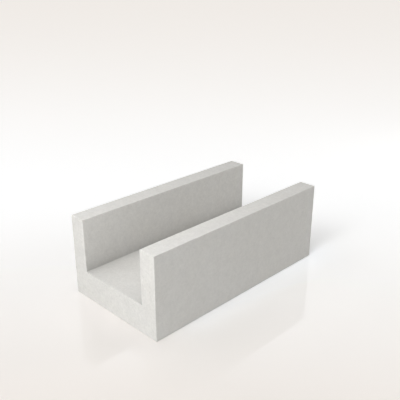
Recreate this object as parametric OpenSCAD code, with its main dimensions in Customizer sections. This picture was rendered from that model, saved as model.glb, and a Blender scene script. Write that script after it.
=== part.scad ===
// U-block of aerated concrete: one channel-shaped block, cut from a single cast piece.
// It lies on its bed face with the open side up, and the channel runs right through from end to end.
// Origin: middle of the bed face. X runs across the width, Y along the channel, Z upwards. Millimetres.

/* [Block] */
// Length of the block, along the channel
block_length = 600; // [300:5:1000]
// Overall width, over both side walls
block_width = 316; // [220:1:500]
// Overall height, from the bed face to the tops of the side walls
block_height = 221; // [150:1:400]

/* [Section] */
// Thickness of each side wall
wall_thickness = 49; // [30:1:90]
// Thickness of the base under the channel
base_thickness = 77; // [30:1:120]

/* [Edges] */
// Radius rubbed onto every outside edge in handling
arris_radius = 1; // [0.5:0.1:4]
// Radius in the two inside corners of the channel
root_radius = 1; // [0.5:0.1:6]

/* [Hidden] */
// How far a cutting shape runs past the face that it cuts
overrun = 1;
channel_width = block_width - 2 * wall_thickness;
channel_depth = block_height - base_thickness;
$fn = 48;

// The sliver between a square corner at the origin and a quarter circle of radius r inside it.
module corner_sliver(r) {
    difference() {
        translate([-overrun, -overrun])
            square(r + overrun);
        translate([r, r])
            circle(r);
    }
}

// Slivers at the named corners of a rectangle centred on x = 0 that stands on y = 0.
// Corners count anticlockwise from the lower left one, which is 0.
module corner_slivers(width, height, r, corners = [0, 1, 2, 3]) {
    place = [[-width / 2, 0], [width / 2, 0], [width / 2, height], [-width / 2, height]];
    for (corner = corners)
        translate(place[corner])
            rotate(90 * corner)
                corner_sliver(r);
}

// The channel as seen from the end, open at the top, with its two rounded inside corners.
module channel_outline() {
    difference() {
        translate([-channel_width / 2, 0])
            square([channel_width, channel_depth + overrun]);
        corner_slivers(channel_width, channel_depth, root_radius, [0, 1]);
    }
}

// The U-shaped section, with every outside edge rounded.
module block_section() {
    wall_centre = (block_width - wall_thickness) / 2;
    difference() {
        translate([-block_width / 2, 0])
            square([block_width, block_height]);
        translate([0, base_thickness])
            channel_outline();
        corner_slivers(block_width, block_height, arris_radius);
        for (side = [-1, 1])
            translate([side * wall_centre, 0])
                corner_slivers(wall_thickness, block_height, arris_radius, [2, 3]);
    }
}

// Stands a flat shape drawn in X and Y up into X and Z, and runs it along Y by a length.
module along_channel(length) {
    rotate([90, 0, 0])
        linear_extrude(length, center = true)
            children();
}

// Turns a flat shape drawn in Y and Z to face along X, and runs it across by a width.
module across_block(width) {
    rotate([90, 0, 90])
        linear_extrude(width, center = true)
            children();
}

// Rounds the upright edges at both ends: four on the outside, and four at the mouths of the channel.
module upright_end_edges() {
    wall_centre = (block_width - wall_thickness) / 2;
    translate([0, -block_length / 2, -overrun])
        linear_extrude(block_height + 2 * overrun)
            corner_slivers(block_width, block_length, arris_radius);
    for (side = [-1, 1])
        translate([side * wall_centre, -block_length / 2, base_thickness])
            linear_extrude(channel_depth + overrun)
                corner_slivers(wall_thickness, block_length, arris_radius, side < 0 ? [1, 2] : [0, 3]);
}

// Rounds the level edges at both ends: the bed, the wall tops and the channel floor.
module level_end_edges() {
    across_block(block_width + 2 * overrun)
        corner_slivers(block_length, block_height, arris_radius);
    across_block(channel_width)
        corner_slivers(block_length, base_thickness, arris_radius, [2, 3]);
}

module u_block() {
    color([0.88, 0.87, 0.85])
        difference() {
            along_channel(block_length)
                block_section();
            upright_end_edges();
            level_end_edges();
        }
}

u_block();
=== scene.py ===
"""Looks of the aerated concrete U-block: its pored solid, its matt finish and the pale studio round it."""

import logging
import math
import random
from dataclasses import dataclass
from enum import Enum

import bmesh
import bpy
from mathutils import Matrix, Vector, noise


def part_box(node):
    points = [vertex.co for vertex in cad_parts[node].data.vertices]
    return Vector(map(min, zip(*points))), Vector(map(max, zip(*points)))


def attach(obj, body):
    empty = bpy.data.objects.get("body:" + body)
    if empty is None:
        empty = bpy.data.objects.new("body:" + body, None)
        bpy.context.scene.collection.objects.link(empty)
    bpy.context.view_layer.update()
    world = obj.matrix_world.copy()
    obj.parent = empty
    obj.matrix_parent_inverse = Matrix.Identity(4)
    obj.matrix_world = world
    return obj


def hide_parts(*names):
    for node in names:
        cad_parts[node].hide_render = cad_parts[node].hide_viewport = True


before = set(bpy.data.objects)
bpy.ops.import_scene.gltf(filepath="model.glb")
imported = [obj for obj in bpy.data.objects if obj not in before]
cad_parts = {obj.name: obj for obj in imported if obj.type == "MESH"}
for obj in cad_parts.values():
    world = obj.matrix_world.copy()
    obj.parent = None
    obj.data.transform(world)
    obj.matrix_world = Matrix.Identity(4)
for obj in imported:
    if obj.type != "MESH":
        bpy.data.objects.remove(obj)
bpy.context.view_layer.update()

NODE = "u_block"
BODY = "root"
SLOT = "aerated_concrete"
ARRIS_LAYER = "arris"
NOOK_LAYER = "nook"

# How many finer octaves a noise pattern has, and how strong each is beside the one before.
NOISE_DETAIL = 2.0
NOISE_ROUGHNESS = 0.6

# Where the Mix node keeps its colours, after the sockets for numbers and vectors.
MIX_FIRST_COLOR = 6
MIX_SECOND_COLOR = 7
MIX_COLOR_RESULT = 2

# Cosines above which two directions count as the same.
SAME_LINE = 0.999
SAME_PLANE = 0.9999
COARSE_LAYER = "coarse"

log = logging.getLogger("u_block")

Color = tuple[float, float, float]


class Axis(Enum):
    """The three directions of the frame."""

    ACROSS = 0
    ALONG = 1
    UP = 2


def direction_from(azimuth: float, elevation: float) -> Vector:
    """Gives the unit direction from the block towards something seen at that azimuth and elevation.

    Args:
        azimuth: Degrees round the block; 0 is in front of the -Y end and 90 beside the +X side.
        elevation: Degrees above the horizon.

    Returns:
        The unit direction.
    """
    turn, rise = math.radians(azimuth), math.radians(elevation)
    return Vector(
        (math.sin(turn) * math.cos(rise), -math.cos(turn) * math.cos(rise), math.sin(rise))
    )


def link_object(name: str, data: bpy.types.ID) -> bpy.types.Object:
    """Makes an object for some data and puts it in the scene.

    Args:
        name: The object's name.
        data: Its mesh, lamp or camera.

    Returns:
        The new object, at the origin.
    """
    item = bpy.data.objects.new(name, data)
    bpy.context.scene.collection.objects.link(item)
    return item


class NodeSheet:
    """A node tree with short calls that add a node and join it up."""

    def __init__(self, owner: bpy.types.Material | bpy.types.World) -> None:
        """Empties the owner's node tree and keeps it.

        Args:
            owner: The material or world whose nodes are made.
        """
        owner.use_nodes = True
        self.tree = owner.node_tree
        self.tree.nodes.clear()

    def add(self, kind: str, settings: dict | None = None, **inputs: object) -> bpy.types.Node:
        """Adds a node, sets its options and fills its inputs.

        Args:
            kind: The node's type, without the leading "ShaderNode".
            settings: Options of the node itself, by name.
            **inputs: Input values or output sockets to link, by the input's name with _ for a space.

        Returns:
            The new node.
        """
        node = self.tree.nodes.new("ShaderNode" + kind)
        for name, value in (settings or {}).items():
            setattr(node, name, value)
        for name, value in inputs.items():
            self.fill(node.inputs[name.replace("_", " ")], value)
        return node

    def fill(self, socket: bpy.types.NodeSocket, value: object) -> None:
        """Links an output socket to an input, or sets the input's value.

        Args:
            socket: The input.
            value: An output socket, a number, or a colour.
        """
        if isinstance(value, bpy.types.NodeSocket):
            self.tree.links.new(value, socket)
        elif isinstance(value, tuple) and socket.type == "RGBA":
            socket.default_value = (*value, 1.0)
        else:
            socket.default_value = value

    def math(self, operation: str, *values: object) -> bpy.types.NodeSocket:
        """Adds a Math node.

        Args:
            operation: The operation's name.
            *values: Its inputs in order, as numbers or sockets.

        Returns:
            The result.
        """
        node = self.add("Math", {"operation": operation})
        for socket, value in zip(node.inputs, values):
            self.fill(socket, value)
        return node.outputs[0]

    def vector(self, operation: str, *values: object) -> bpy.types.NodeSocket:
        """Adds a Vector Math node.

        Args:
            operation: The operation's name.
            *values: Its inputs in order, as vectors or sockets, and last the number for a SCALE.

        Returns:
            The result, a number for a DOT_PRODUCT.
        """
        node = self.add("VectorMath", {"operation": operation})
        sockets = [socket for socket in node.inputs if socket.enabled]
        for socket, value in zip(sockets, values):
            self.fill(socket, value)
        return next(socket for socket in node.outputs if socket.enabled)

    def spread(
        self, value: object, low: float, high: float, to_low: float, to_high: float, curve: str = "LINEAR"
    ) -> bpy.types.NodeSocket:
        """Maps a value from one range to another and holds it inside.

        Args:
            value: The socket to map.
            low: Where the first range starts.
            high: Where the first range ends.
            to_low: What low becomes.
            to_high: What high becomes.
            curve: The interpolation's name.

        Returns:
            The mapped value.
        """
        node = self.add(
            "MapRange",
            {"interpolation_type": curve},
            Value=value,
            From_Min=low,
            From_Max=high,
            To_Min=to_low,
            To_Max=to_high,
        )
        return node.outputs["Result"]

    def noise(self, place: bpy.types.NodeSocket, size: float) -> bpy.types.NodeSocket:
        """Adds a noise pattern.

        Args:
            place: The coordinates it reads.
            size: The width of its largest lumps, in metres.

        Returns:
            Its value, from 0 to 1 and mostly near 0.5.
        """
        node = self.add(
            "TexNoise", Vector=place, Scale=1.0 / size, Detail=NOISE_DETAIL, Roughness=NOISE_ROUGHNESS
        )
        return node.outputs["Fac"]

    def mix(self, share: object, first: object, second: object) -> bpy.types.NodeSocket:
        """Mixes two colours.

        Args:
            share: How much of the second, from 0 to 1.
            first: The first colour.
            second: The second colour.

        Returns:
            The mixed colour.
        """
        node = self.add("Mix", {"data_type": "RGBA"})
        self.fill(node.inputs["Factor"], share)
        self.fill(node.inputs[MIX_FIRST_COLOR], first)
        self.fill(node.inputs[MIX_SECOND_COLOR], second)
        return node.outputs[MIX_COLOR_RESULT]


@dataclass(frozen=True)
class Tier:
    """One size of lighter and darker lumps in the finish.

    Attributes:
        size: The width of its lumps, in metres.
        gain: How strongly they lighten and darken the colour.
    """

    size: float
    gain: float


@dataclass(frozen=True)
class AeratedConcrete:
    """The finish of the block: matt, pale, finely pored and faintly mottled.

    It is lighter on the rubbed arrises. It is painted darker in the channel's inner corners, which deepens
    the shade that the lamps leave there. The block itself has no such stain. Its pattern, but not its broad
    clouds, is stronger on the ends and fainter on the outer sides. The dark dots painted here and the pores
    cut into the mesh are two separate patterns.
    """

    warm: Color = (0.734, 0.721, 0.690)
    cool: Color = (0.722, 0.711, 0.686)
    rubbed: Color = (0.760, 0.749, 0.720)
    cloud: Tier = Tier(size=0.11, gain=0.07)
    mottle: Tier = Tier(size=0.022, gain=0.12)
    fleck: Tier = Tier(size=0.0070, gain=0.18)
    grain: Tier = Tier(size=0.0018, gain=0.10)
    small_pore_cell: float = 0.0019
    large_pore_cell: float = 0.0060
    small_pore_share: float = 0.55
    large_pore_share: float = 0.22
    pore_edge: tuple[float, float] = (0.12, 0.34)
    pore_shade: float = 0.09
    # How strongly the painted shade darkens the channel's inner corners.
    nook_shade: float = 0.25
    tint_range: tuple[float, float] = (0.35, 0.65)
    rub_range: tuple[float, float] = (0.42, 0.60)
    rub_most: float = 0.75
    bump_depth: float = 0.0006
    bump_strength: float = 0.6
    bump_grain: float = 0.7
    bump_fleck: float = 0.5
    gloss_range: tuple[float, float] = (0.3, 0.7)
    roughness: tuple[float, float] = (0.88, 0.98)
    specular_level: float = 0.3
    diffuse_roughness: float = 0.5

    def pores(
        self, sheet: NodeSheet, place: bpy.types.NodeSocket, cell: float, share: float
    ) -> bpy.types.NodeSocket:
        """Scatters round pores, one in some of the cells of a random foam.

        Args:
            sheet: The node tree.
            place: The coordinates it reads.
            cell: The width of a foam cell, in metres.
            share: The share of cells with an open pore.

        Returns:
            1 in the middle of a pore and 0 between them.
        """
        foam = sheet.add("TexVoronoi", Vector=place, Scale=1.0 / cell, Randomness=1.0)
        dot = sheet.spread(foam.outputs["Distance"], *self.pore_edge, 1.0, 0.0, "SMOOTHSTEP")
        lot = sheet.add("SeparateColor", Color=foam.outputs["Color"]).outputs["Red"]
        drawn = sheet.math("LESS_THAN", lot, share)
        return sheet.math("MULTIPLY", dot, drawn)

    def build(self) -> bpy.types.Material:
        """Makes the material.

        Returns:
            The material, named after the record's slot.
        """
        material = bpy.data.materials.new(SLOT)
        sheet = NodeSheet(material)
        place = sheet.add("TexCoord").outputs["Object"]
        cloud, mottle, fleck, grain = (
            sheet.noise(place, tier.size) for tier in (self.cloud, self.mottle, self.fleck, self.grain)
        )
        small = self.pores(sheet, place, self.small_pore_cell, self.small_pore_share)
        large = self.pores(sheet, place, self.large_pore_cell, self.large_pore_share)
        open_pores = sheet.math("MAXIMUM", small, large)
        arris = sheet.add("Attribute", {"attribute_name": ARRIS_LAYER}).outputs["Fac"]
        nook = sheet.add("Attribute", {"attribute_name": NOOK_LAYER}).outputs["Fac"]
        coarse = sheet.add("Attribute", {"attribute_name": COARSE_LAYER}).outputs["Fac"]

        tone = sheet.mix(sheet.spread(cloud, *self.tint_range, 0.0, 1.0), self.warm, self.cool)
        rub = sheet.math("MULTIPLY", arris, sheet.spread(mottle, *self.rub_range, 0.0, self.rub_most))
        tone = sheet.mix(rub, tone, self.rubbed)
        light = sheet.math("MULTIPLY", open_pores, -self.pore_shade)
        for tier, pattern in ((self.mottle, mottle), (self.fleck, fleck), (self.grain, grain)):
            light = sheet.math("MULTIPLY_ADD", sheet.math("SUBTRACT", pattern, 0.5), tier.gain, light)
        light = sheet.math("MULTIPLY_ADD", light, coarse, 1.0)
        light = sheet.math("MULTIPLY_ADD", sheet.math("SUBTRACT", cloud, 0.5), self.cloud.gain, light)
        # Painted shade: the colour darkens towards the channel's inner corners.
        light = sheet.math("MULTIPLY", light, sheet.math("MULTIPLY_ADD", nook, -self.nook_shade, 1.0))
        color = sheet.vector("SCALE", tone, light)

        height = sheet.math("MULTIPLY_ADD", open_pores, -1.0, sheet.math("MULTIPLY", grain, self.bump_grain))
        height = sheet.math("MULTIPLY_ADD", fleck, self.bump_fleck, height)
        bump = sheet.add("Bump", Strength=self.bump_strength, Distance=self.bump_depth, Height=height)
        shader = sheet.add(
            "BsdfPrincipled",
            Base_Color=color,
            Roughness=sheet.spread(grain, *self.gloss_range, *self.roughness),
            Normal=bump.outputs[0],
        )
        shader.inputs["Specular IOR Level"].default_value = self.specular_level
        shader.inputs["Diffuse Roughness"].default_value = self.diffuse_roughness
        sheet.add("OutputMaterial", Surface=shader.outputs[0])
        return material


@dataclass
class UBlock:
    """The block itself: one closed solid, with a channel between two side walls, pores and rubbed arrises."""

    low: Vector
    high: Vector
    wall_thickness: float = 0.049
    base_thickness: float = 0.077
    arris_radius: float = 0.001
    arris_segments: int = 2
    edge_slack: float = 4.0
    cell: float = 0.0041
    cell_shift: float = 0.30
    pore_count: int = 2500
    pore_radius: tuple[float, float] = (0.00045, 0.00125)
    pore_depth: float = 0.8
    pore_inset: float = 0.22
    pore_taper: float = 0.8
    pore_bowl: float = 0.5
    pore_size_skew: float = 2.2
    pore_unevenness: tuple[float, float] = (0.85, 1.1)
    pore_least_edge: float = 0.7
    waviness: float = 0.00010
    wave_start: float = 0.5
    wave_tiers: tuple[tuple[float, float], ...] = ((110.0, 0.5), (420.0, 0.35))
    rub_depth: float = 0.00025
    rub_start: float = 0.05
    rub_tiers: tuple[tuple[float, float], ...] = ((60.0, 1.0), (230.0, 0.55))
    nook_reach: float = 0.028
    nook_end_gap: float = 0.75
    face_slack: float = 2.0
    end_coarseness: float = 1.15
    side_coarseness: float = 0.75
    square_angle: float = math.radians(45)
    rounded_angle: float = math.radians(10)
    sharp_angle: float = math.radians(20)
    seed: int = 11

    @property
    def width(self) -> float:
        """The outer width."""
        return self.high.x - self.low.x

    @property
    def length(self) -> float:
        """The length along the channel."""
        return self.high.y - self.low.y

    @property
    def height(self) -> float:
        """The height to the wall tops."""
        return self.high.z - self.low.z

    @property
    def half_channel(self) -> float:
        """Half the clear width of the channel."""
        return self.width / 2 - self.wall_thickness

    def build(self) -> bpy.types.Object:
        """Makes the block's mesh and object.

        Returns:
            The finished object, at the origin.
        """
        shape = self.trough()
        self.round_arrises(shape)
        self.lay_cells(shape)
        shape = self.in_order(shape)
        self.mark_arrises(shape)
        self.shift_cells(shape)
        self.open_pores(shape)
        self.weather(shape)
        self.mark_nooks(shape)
        self.mark_coarseness(shape)
        mesh = bpy.data.meshes.new("u_block_body")
        for edge in shape.edges:
            edge.smooth = edge.calc_face_angle(0.0) < self.sharp_angle
        for face in shape.faces:
            face.smooth = True
        shape.to_mesh(mesh)
        shape.free()
        return link_object("u_block_body", mesh)

    def trough(self) -> bmesh.types.BMesh:
        """Makes the plain trough: a base slab whose outer strips are drawn up into the side walls.

        Returns:
            The trough with sharp edges, closed and facing outwards.
        """
        shape = bmesh.new()
        bmesh.ops.create_cube(shape, size=1.0)
        bmesh.ops.scale(shape, vec=(self.width, self.length, self.base_thickness), verts=shape.verts)
        middle = (self.low + self.high) / 2
        rise = self.low.z + self.base_thickness / 2
        bmesh.ops.translate(shape, vec=(middle.x, middle.y, rise), verts=shape.verts)
        for side in (-1, 1):
            bmesh.ops.bisect_plane(
                shape,
                geom=[*shape.verts, *shape.edges, *shape.faces],
                plane_co=(middle.x + side * self.half_channel, 0, 0),
                plane_no=(1, 0, 0),
            )
        strips = [
            face
            for face in shape.faces
            if face.normal.z > SAME_LINE and abs(face.calc_center_median().x - middle.x) > self.half_channel
        ]
        drawn = bmesh.ops.extrude_discrete_faces(shape, faces=strips)["faces"]
        corners = [corner for face in drawn for corner in face.verts]
        bmesh.ops.translate(shape, vec=(0, 0, self.height - self.base_thickness), verts=corners)
        shape.normal_update()
        return shape

    def round_arrises(self, shape: bmesh.types.BMesh) -> None:
        """Rounds every arris and both inner corners of the channel.

        Args:
            shape: The plain trough.
        """
        edges = [edge for edge in shape.edges if edge.calc_face_angle() > self.square_angle]
        bmesh.ops.bevel(
            shape,
            geom=edges,
            offset=self.arris_radius,
            offset_type="OFFSET",
            segments=self.arris_segments,
            profile=0.5,
            affect="EDGES",
            material=-1,
        )

    def spans(self, axis: Axis) -> list[float]:
        """Lists the lengths of the trough's straight edges in one direction."""
        return {
            Axis.ACROSS: [self.wall_thickness, 2 * self.half_channel],
            Axis.ALONG: [self.length],
            Axis.UP: [self.base_thickness, self.height - self.base_thickness],
        }[axis]

    def lay_cells(self, shape: bmesh.types.BMesh) -> None:
        """Cuts every face into small square cells, one direction after another.

        Args:
            shape: The trough with rounded arrises.
        """
        for axis in Axis:
            for span in self.spans(axis):
                edges = [
                    edge
                    for edge in shape.edges
                    if abs(edge.calc_length() - span) < self.edge_slack * self.arris_radius
                    and abs((edge.verts[1].co - edge.verts[0].co).normalized()[axis.value]) > SAME_LINE
                ]
                cuts = round(span / self.cell) - 1
                bmesh.ops.subdivide_edges(shape, edges=edges, cuts=cuts, use_grid_fill=True)
        shape.normal_update()

    @staticmethod
    def in_order(shape: bmesh.types.BMesh) -> bmesh.types.BMesh:
        """Copies a shape with its faces in a fixed order.

        Cutting leaves the faces, and the corner each one starts from, in an order that differs from run to
        run, and the pores are drawn from that list.

        Args:
            shape: The shape, which is freed.

        Returns:
            The same shape, the same in every run.
        """
        shape.verts.index_update()
        rings = []
        for face in shape.faces:
            ring = [point.index for point in face.verts]
            first = ring.index(min(ring))
            rings.append(ring[first:] + ring[:first])
        copy = bmesh.new()
        points = [copy.verts.new(point.co) for point in shape.verts]
        for ring in sorted(rings):
            copy.faces.new([points[index] for index in ring])
        shape.free()
        copy.normal_update()
        return copy

    def mark_arrises(self, shape: bmesh.types.BMesh) -> None:
        """Writes 1 on the arris layer at every point of a rounded outer edge, and 0 elsewhere.

        Args:
            shape: The trough in cells.
        """
        layer = shape.verts.layers.float.new(ARRIS_LAYER)
        for edge in shape.edges:
            if edge.calc_face_angle_signed() > self.rounded_angle:
                for point in edge.verts:
                    point[layer] = 1.0

    @staticmethod
    def is_flat(point: bmesh.types.BMVert) -> bool:
        """Says whether all faces round a point lie in one plane."""
        first = point.link_faces[0].normal
        return all(face.normal.dot(first) > SAME_PLANE for face in point.link_faces)

    def shift_cells(self, shape: bmesh.types.BMesh) -> None:
        """Moves the cell corners a little in their plane, so that no row of pores shows.

        Args:
            shape: The trough in cells.
        """
        draw = random.Random(self.seed)
        for point in [point for point in shape.verts if self.is_flat(point)]:
            step = Vector([draw.uniform(-1, 1) * self.cell_shift * self.cell for _ in range(3)])
            normal = point.link_faces[0].normal
            point.co += step - normal * step.dot(normal)

    def open_pores(self, shape: bmesh.types.BMesh) -> None:
        """Opens shallow round pores in randomly drawn cells.

        Args:
            shape: The trough in cells.
        """
        draw = random.Random(self.seed + 1)
        flat = {point for point in shape.verts if self.is_flat(point)}
        cells = [
            face
            for face in shape.faces
            if all(point in flat for point in face.verts)
            and min(edge.calc_length() for edge in face.edges) > self.cell * self.pore_least_edge
        ]
        drawn = draw.sample(cells, self.pore_count)
        rim_width = self.cell * self.pore_inset
        bmesh.ops.inset_individual(shape, faces=drawn, thickness=rim_width, use_even_offset=True)
        rims = list(dict.fromkeys(edge for face in drawn for edge in face.edges))
        bmesh.ops.subdivide_edges(shape, edges=rims, cuts=1, use_grid_fill=False)
        for face in drawn:
            self.round_rim(face, draw)
        hollows = bmesh.ops.extrude_discrete_faces(shape, faces=drawn)["faces"]
        for face in hollows:
            face.normal_update()
            middle = face.calc_center_median()
            reach = max((point.co - middle).length for point in face.verts)
            for point in face.verts:
                inner = middle + (point.co - middle) * self.pore_taper
                point.co = inner - face.normal * reach * self.pore_depth
        for point in bmesh.ops.poke(shape, faces=hollows, offset=0.0)["verts"]:
            rim = next(edge.other_vert(point) for edge in point.link_edges)
            point.co -= point.link_faces[0].normal * (rim.co - point.co).length * self.pore_bowl

    def round_rim(self, face: bmesh.types.BMFace, draw: random.Random) -> None:
        """Turns an eight-sided rim into a rough circle of a random size.

        Args:
            face: The rim's face.
            draw: The source of its size and unevenness.
        """
        middle = face.calc_center_median()
        room = min((point.co - middle).length for point in face.verts)
        small, big = self.pore_radius
        radius = small + (big - small) * draw.random() ** self.pore_size_skew
        for point in face.verts:
            spoke = (point.co - middle).normalized()
            point.co = middle + spoke * min(radius, room) * draw.uniform(*self.pore_unevenness)

    @staticmethod
    def ripple(place: Vector, tiers: tuple[tuple[float, float], ...], start: float = 0.0) -> float:
        """Adds soft noise of several sizes to a starting value.

        Args:
            place: The point.
            tiers: How many lumps of each size there are to a metre, and how strong they are.
            start: The starting value.

        Returns:
            The sum.
        """
        total = start
        for pitch, strength in tiers:
            total += strength * noise.noise(place * pitch)
        return total

    def weather(self, shape: bmesh.types.BMesh) -> None:
        """Gives the faces a faint unevenness and rubs the arrises back, always into the block.

        Args:
            shape: The trough with its pores.
        """
        shape.normal_update()
        arris = shape.verts.layers.float[ARRIS_LAYER]
        for point in shape.verts:
            place = point.co
            depth = self.waviness * self.ripple(place, self.wave_tiers, self.wave_start)
            if point[arris] > 0.5:
                rub = max(0.0, self.ripple(place, self.rub_tiers) - self.rub_start)
                depth += self.rub_depth * rub
            point.co = place - point.normal * max(depth, 0.0)

    def mark_nooks(self, shape: bmesh.types.BMesh) -> None:
        """Writes how near each channel point is to an inner corner, for the painted shade there: 1 at the
        corner, less further off.

        Args:
            shape: The finished trough.
        """
        layer = shape.verts.layers.float.new(NOOK_LAYER)
        middle = (self.low + self.high) / 2
        end = self.length / 2 - self.arris_radius * self.nook_end_gap
        slack = self.pore_radius[1] * self.face_slack
        for point in shape.verts:
            inwards = self.half_channel - abs(point.co.x - middle.x)
            upwards = point.co.z - self.low.z - self.base_thickness
            if min(inwards, upwards) > -slack and abs(point.co.y - middle.y) < end:
                point[layer] = math.exp(-math.hypot(inwards, upwards) / self.nook_reach)

    def mark_coarseness(self, shape: bmesh.types.BMesh) -> None:
        """Writes how strong the painted pattern is at each point: more on both ends, less on the outer sides.

        Args:
            shape: The finished trough.
        """
        layer = shape.verts.layers.float.new(COARSE_LAYER)
        middle = (self.low + self.high) / 2
        slack = self.pore_radius[1] * self.face_slack
        for point in shape.verts:
            if self.length / 2 - abs(point.co.y - middle.y) < slack:
                point[layer] = self.end_coarseness
            elif self.width / 2 - abs(point.co.x - middle.x) < slack:
                point[layer] = self.side_coarseness
            else:
                point[layer] = 1.0

    def dress(self, piece: bpy.types.Object, finish: AeratedConcrete) -> None:
        """Gives the block its finish and ties it to the frame.

        Args:
            piece: The block's object.
            finish: Its finish.
        """
        piece.data.materials.append(finish.build())
        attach(piece, BODY)
        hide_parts(NODE)


@dataclass(frozen=True)
class Lamp:
    """A round soft lamp that points at the middle of the block."""

    name: str
    azimuth: float
    elevation: float
    distance: float
    diameter: float
    power: float

    @property
    def towards(self) -> Vector:
        """The direction from the block to the lamp."""
        return direction_from(self.azimuth, self.elevation)

    def place(self, target: Vector) -> Vector:
        """Gives the place of the lamp's middle when it is aimed at the target."""
        return target + self.towards * self.distance

    def hang(self, target: Vector) -> bpy.types.Object:
        """Puts the lamp in the scene.

        Args:
            target: The point it is aimed at.

        Returns:
            The lamp's object.
        """
        data = bpy.data.lights.new(self.name, "AREA")
        data.shape = "DISK"
        data.size = self.diameter
        data.energy = self.power
        lamp = link_object(self.name, data)
        lamp.location = self.place(target)
        lamp.rotation_euler = (-self.towards).to_track_quat("-Z", "Y").to_euler()
        lamp.visible_glossy = False
        return lamp

    def light_on_floor(
        self, sheet: NodeSheet, place: bpy.types.NodeSocket, target: Vector, level: float
    ) -> bpy.types.NodeSocket:
        """Works out how brightly this lamp alone lights a white floor with nothing on it.

        Args:
            sheet: The floor's node tree.
            place: The point of the floor.
            target: The point the lamp is aimed at.
            level: The height of the floor.

        Returns:
            The brightness, where 1 is white.
        """
        spot = self.place(target)
        ray = sheet.vector("SUBTRACT", place, tuple(spot))
        reach = sheet.vector("DOT_PRODUCT", ray, ray)
        ahead = sheet.math("MAXIMUM", sheet.vector("DOT_PRODUCT", ray, tuple(-self.towards)), 0.0)
        wide = sheet.math("ADD", reach, (self.diameter / 2) ** 2)
        share = sheet.math("DIVIDE", ahead, sheet.math("MULTIPLY", reach, wide))
        return sheet.math("MULTIPLY", share, self.power * (spot.z - level) / math.pi**2)


@dataclass(frozen=True)
class FootBand:
    """A soft strip of floor along the foot of one face, whose paint is made darker or lighter.

    The face throws some light down there and takes some away; the strip paints shade against the one and
    light against the other. The strength is tuned, not worked out.

    Attributes:
        azimuth: Which way the face looks, in degrees round the block.
        reach: How far from the face the correction has faded to about a third.
        gain: What is added at the face to the divisor of the paint's red, green and blue.
        ends: Where the strip fades in and where it fades out, along the face and to its left, in metres.
        soft: Over what length it fades in and out.
    """

    azimuth: float
    reach: float
    gain: Color
    ends: tuple[float, float]
    soft: float = 0.12

    def share(
        self, sheet: NodeSheet, place: bpy.types.NodeSocket, half: Vector
    ) -> bpy.types.NodeSocket:
        """Works out by how much the floor's paint is divided.

        Args:
            sheet: The floor's node tree.
            place: The point of the floor, from the block's middle.
            half: Half the block's size in each direction.

        Returns:
            The divisor of its red, green and blue, 1 where the strip has no effect.
        """
        outward = direction_from(self.azimuth, 0.0)
        beside = direction_from(self.azimuth + 90.0, 0.0)
        start = abs(outward.x) * half.x + abs(outward.y) * half.y
        away = sheet.math("SUBTRACT", sheet.vector("DOT_PRODUCT", place, tuple(outward)), start)
        steps = sheet.math("DIVIDE", away, self.reach)
        fade = sheet.math("EXPONENT", sheet.math("MULTIPLY", sheet.math("MULTIPLY", steps, steps), -1.0))
        along = sheet.vector("DOT_PRODUCT", place, tuple(beside))
        first, last = self.ends
        rim = self.soft / 2
        rise = sheet.spread(along, first - rim, first + rim, 0.0, 1.0, "SMOOTHSTEP")
        fall = sheet.spread(along, last - rim, last + rim, 1.0, 0.0, "SMOOTHSTEP")
        front = sheet.spread(away, -rim, 0.0, 0.0, 1.0, "SMOOTHSTEP")
        strip = sheet.math("MULTIPLY", rise, fall)
        strip = sheet.math("MULTIPLY", strip, sheet.math("MULTIPLY", fade, front))
        return sheet.vector("ADD", sheet.vector("SCALE", self.gain, strip), (1.0, 1.0, 1.0))


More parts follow.
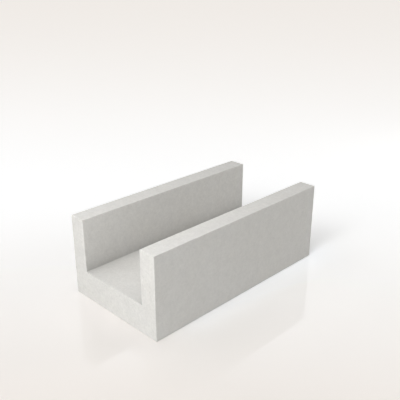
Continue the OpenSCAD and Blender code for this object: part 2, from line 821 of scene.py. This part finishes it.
@dataclass(frozen=True)
class SweepPaint:
    """The finish of the floor: an evenly lit pale sheet.

    It is white behind the block, and warmer in front and far off. The eye and mirrors see the chosen tones
    wherever the lamps reach, with the block's own shadow on them; at its feet the paint is made darker or
    lighter against the light and shade the block throws there. Light that bounces off the floor sees a plain
    pale paint.
    """

    albedo: Color = (0.88, 0.875, 0.86)
    white: Color = (1.0, 1.0, 1.0)
    near_tone: Color = (0.846, 0.793, 0.744)
    far_tone: Color = (0.860, 0.818, 0.775)
    near_reach: tuple[float, float] = (-0.80, 0.55)
    far_start: float = 0.70
    far_half: float = 1.60
    far_power: float = 1.3
    # Painted shade and painted light at the block's feet, against the light and shade the block throws on the
    # floor.
    bands: tuple[FootBand, ...] = (
        FootBand(azimuth=0, reach=0.062, gain=(0.10, 0.105, 0.10), ends=(-0.160, 0.160)),
        FootBand(azimuth=90, reach=0.058, gain=(-0.085, -0.11, -0.14), ends=(-0.23, 0.36), soft=0.16),
        FootBand(azimuth=90, reach=0.42, gain=(0.045, 0.035, 0.03), ends=(-0.40, 0.45), soft=0.4),
    )
    polish: float = 0.125
    polish_slant: tuple[float, float] = (0.33, 0.43)
    polish_roughness: float = 0.02

    def tone(self, sheet: NodeSheet, depth: bpy.types.NodeSocket) -> bpy.types.NodeSocket:
        """Grades the floor from its near tone through white to its far tone.

        Args:
            sheet: The node tree.
            depth: How far behind the block's middle the point lies.

        Returns:
            The colour.
        """
        near = sheet.spread(depth, *self.near_reach, 1.0, 0.0, "SMOOTHSTEP")
        beyond = sheet.math("MAXIMUM", sheet.math("SUBTRACT", depth, self.far_start), 0.0)
        rise = sheet.math("POWER", sheet.math("DIVIDE", beyond, self.far_half), self.far_power)
        far = sheet.math("DIVIDE", rise, sheet.math("ADD", rise, 1.0))
        return sheet.mix(far, sheet.mix(near, self.white, self.near_tone), self.far_tone)

    def build(
        self,
        lamps: tuple[Lamp, ...],
        fill: float,
        target: Vector,
        half: Vector,
        level: float,
        ahead: Vector,
    ) -> bpy.types.Material:
        """Makes the floor's material.

        Args:
            lamps: The lamps that light it.
            fill: The strength of the even light from all round.
            target: The point the lamps are aimed at.
            half: Half the block's size in each direction.
            level: The height of the floor.
            ahead: The level direction in which its tone changes.

        Returns:
            The material.
        """
        material = bpy.data.materials.new("studio_sweep")
        sheet = NodeSheet(material)
        place = sheet.add("TexCoord").outputs["Object"]
        light = fill
        for lamp in lamps:
            light = sheet.math("ADD", lamp.light_on_floor(sheet, place, target, level), light)
        offset = sheet.vector("SUBTRACT", place, tuple(target))
        tone = self.tone(sheet, sheet.vector("DOT_PRODUCT", offset, tuple(ahead)))
        even = sheet.vector("SCALE", tone, sheet.math("DIVIDE", 1.0, light))
        # Painted shade and painted light along the block's feet.
        for band in self.bands:
            even = sheet.vector("DIVIDE", even, band.share(sheet, offset, half))
        matt = sheet.add("BsdfDiffuse", Color=even)
        facing = sheet.add("LayerWeight", Blend=0.5).outputs["Facing"]
        shine = sheet.spread(facing, *self.polish_slant, 0.0, self.polish, "SMOOTHSTEP")
        gloss = sheet.add("BsdfGlossy", Color=self.white, Roughness=self.polish_roughness)
        seen = self.blend(sheet, shine, matt, gloss)
        plain = sheet.add("BsdfDiffuse", Color=self.albedo)
        surface = self.blend(sheet, seen_rays(sheet), plain, seen)
        sheet.add("OutputMaterial", Surface=surface.outputs[0])
        return material

    @staticmethod
    def blend(
        sheet: NodeSheet, share: bpy.types.NodeSocket, first: bpy.types.Node, second: bpy.types.Node
    ) -> bpy.types.Node:
        """Mixes two shaders.

        Args:
            sheet: The node tree.
            share: How much of the second, from 0 to 1.
            first: The first shader.
            second: The second shader.

        Returns:
            The Mix Shader node.
        """
        both = sheet.add("MixShader")
        for socket, value in zip(both.inputs, (share, first.outputs[0], second.outputs[0])):
            sheet.fill(socket, value)
        return both


def seen_rays(sheet: NodeSheet) -> bpy.types.NodeSocket:
    """Gives 1 on rays from the eye and from mirrors and glass, and 0 on bounced light."""
    path = sheet.add("LightPath")
    mirrored = sheet.math("MAXIMUM", path.outputs["Is Glossy Ray"], path.outputs["Is Transmission Ray"])
    return sheet.math("MAXIMUM", path.outputs["Is Camera Ray"], mirrored)


@dataclass
class Studio:
    """The pale room round the block: floor, lamps, world and camera."""

    low: Vector
    high: Vector
    floor_radius: float = 30.0
    floor_sides: int = 96
    floor_gap: float = 0.0005
    fill_strength: float = 0.287
    horizon: Color = (0.871, 0.831, 0.791)
    overhead: Color = (1.0, 1.0, 1.0)
    overhead_rise: float = 0.35
    camera_azimuth: float = 44.95
    camera_elevation: float = 22.49
    camera_distance: float = 1.551
    aim_shift: tuple[float, float] = (0.0025, -0.0034)
    lens: float = 52.5
    sensor: float = 36.0
    lamps: tuple[Lamp, ...] = (
        Lamp("key_lamp", azimuth=20, elevation=45, distance=1.6, diameter=0.9, power=13.8),
        Lamp("back_lamp", azimuth=150, elevation=13, distance=1.6, diameter=0.9, power=6.05),
        Lamp("high_lamp", azimuth=-45, elevation=60, distance=3.5, diameter=2.2, power=14.7),
        Lamp("front_lamp", azimuth=0, elevation=16.5, distance=3.5, diameter=2.2, power=10.15),
    )

    @property
    def middle(self) -> Vector:
        """The middle of the block's box."""
        return (self.low + self.high) / 2

    def lay_floor(self) -> bpy.types.Object:
        """Lays the floor under the block.

        Returns:
            The floor's object.
        """
        level = self.low.z - self.floor_gap
        shape = bmesh.new()
        bmesh.ops.create_circle(
            shape, cap_ends=True, segments=self.floor_sides, radius=self.floor_radius
        )
        bmesh.ops.translate(shape, vec=(0, 0, level), verts=shape.verts)
        bmesh.ops.recalc_face_normals(shape, faces=shape.faces)
        mesh = bpy.data.meshes.new("studio_floor")
        shape.to_mesh(mesh)
        shape.free()
        ahead = -direction_from(self.camera_azimuth, 0.0)
        half = (self.high - self.low) / 2
        paint = SweepPaint().build(self.lamps, self.fill_strength, self.middle, half, level, ahead)
        mesh.materials.append(paint)
        floor = link_object("studio_floor", mesh)
        return floor

    def hang_lamps(self) -> None:
        """Hangs every lamp, aimed at the middle of the block."""
        for lamp in self.lamps:
            lamp.hang(self.middle)

    def light_world(self) -> None:
        """Fills the room with even light, and shows a pale backdrop that turns white overhead."""
        world = bpy.data.worlds.new("studio_world")
        bpy.context.scene.world = world
        sheet = NodeSheet(world)
        fill = sheet.add("Background", Color=(1.0, 1.0, 1.0), Strength=self.fill_strength)
        rise = sheet.add("SeparateXYZ", Vector=sheet.add("TexCoord").outputs["Generated"]).outputs["Z"]
        whiter = sheet.spread(rise, 0.0, self.overhead_rise, 0.0, 1.0, "SMOOTHSTEP")
        backdrop = sheet.mix(whiter, self.horizon, self.overhead)
        seen = sheet.add("Background", Color=backdrop, Strength=1.0)
        both = SweepPaint.blend(sheet, seen_rays(sheet), fill, seen)
        sheet.add("OutputWorld", Surface=both.outputs[0])

    def place_camera(self) -> None:
        """Stands the camera at the front right corner, aimed close to the middle of the open top."""
        data = bpy.data.cameras.new("studio_camera")
        data.sensor_width = self.sensor
        data.lens = self.lens
        camera = link_object("studio_camera", data)
        back = direction_from(self.camera_azimuth, self.camera_elevation)
        aside, along = self.aim_shift
        aim = Vector((self.middle.x + aside, self.middle.y + along, self.high.z))
        camera.location = aim + back * self.camera_distance
        camera.rotation_euler = (-back).to_track_quat("-Z", "Y").to_euler()
        bpy.context.scene.camera = camera

    def build(self) -> None:
        """Makes the whole studio."""
        self.lay_floor()
        self.hang_lamps()
        self.light_world()
        self.place_camera()
        bpy.context.scene.view_settings.view_transform = "Standard"


def main() -> None:
    """Builds the block and its studio, and reports the piece."""
    logging.basicConfig(level=logging.INFO, format="%(message)s")
    low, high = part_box(NODE)
    Studio(low, high).build()
    block = UBlock(low, high)
    piece = block.build()
    block.dress(piece, AeratedConcrete())
    triangles = sum(len(face.vertices) - 2 for face in piece.data.polygons)
    log.info("%s: %d triangles, rides on %s", piece.name, triangles, BODY)


if __name__ == "__main__":
    main()
